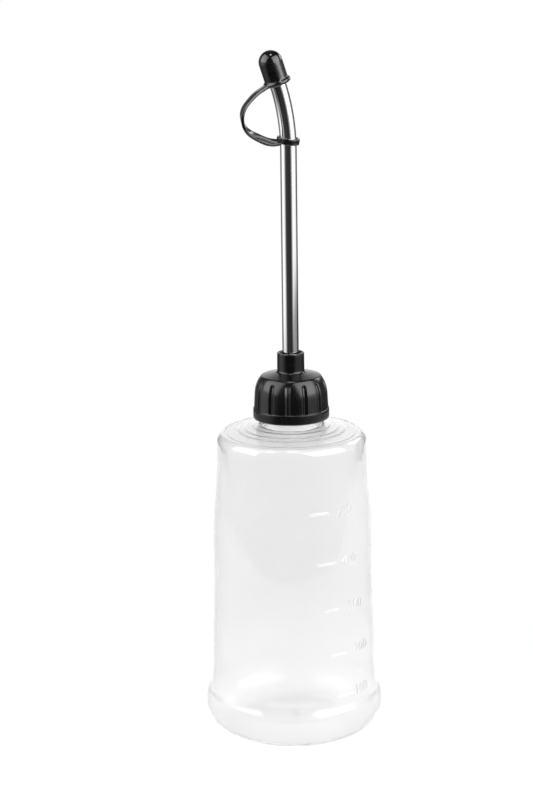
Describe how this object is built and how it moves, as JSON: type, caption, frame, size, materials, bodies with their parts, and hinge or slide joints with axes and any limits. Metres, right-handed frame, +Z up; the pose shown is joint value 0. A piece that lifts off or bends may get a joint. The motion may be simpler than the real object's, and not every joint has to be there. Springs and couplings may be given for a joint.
{
  "type": "soft fuel bottle",
  "caption": "Soft clear squeeze bottle for fuel, with a fluted black screw cap, a bent metal spout and a rubber tip cap on a tether.",
  "frame": {"origin": "centre of the flat ring that the bottle stands on", "axes": "+Z up along the bottle's axis; the front, with the volume scale, faces -Y; the spout's tip leans to -X and -Y"},
  "size_m": [0.088, 0.088, 0.3343],
  "materials": {
    "clear_bottle": "gloss",
    "black_plastic": "satin",
    "seal_rubber": "matte",
    "bright_tube": "polished",
    "black_rubber": "satin"
  },
  "bodies": {
    "bottle": {"bottle": "clear_bottle"},
    "seal": {"cap_seal": "seal_rubber"},
    "cap": {"screw_cap": "black_plastic", "spout_tube": "bright_tube", "tether": "black_rubber"},
    "tip": {"tip_cap": "black_rubber"}
  },
  "joints": [
    {"name": "cap_lift", "type": "slide", "parent": "bottle", "child": "seal", "axis": [0, 0, 1], "range_m": [0, 0.0168]},
    {"name": "cap_turn", "type": "hinge", "parent": "seal", "child": "cap", "pos_m": [0, 0, 0.175], "axis": [0, 0, 1], "range_deg": [0, 1440]},
    {"name": "tip_pull", "type": "slide", "parent": "cap", "child": "tip", "axis": [-0.2947, -0.1567, 0.9426], "range_m": [0, 0.0135], "deforming": ["tether"]}
  ],
  "couplings": [
    {"joint": "cap_lift", "follows": "cap_turn", "m_per_rad": 0.00066845}
  ]
}
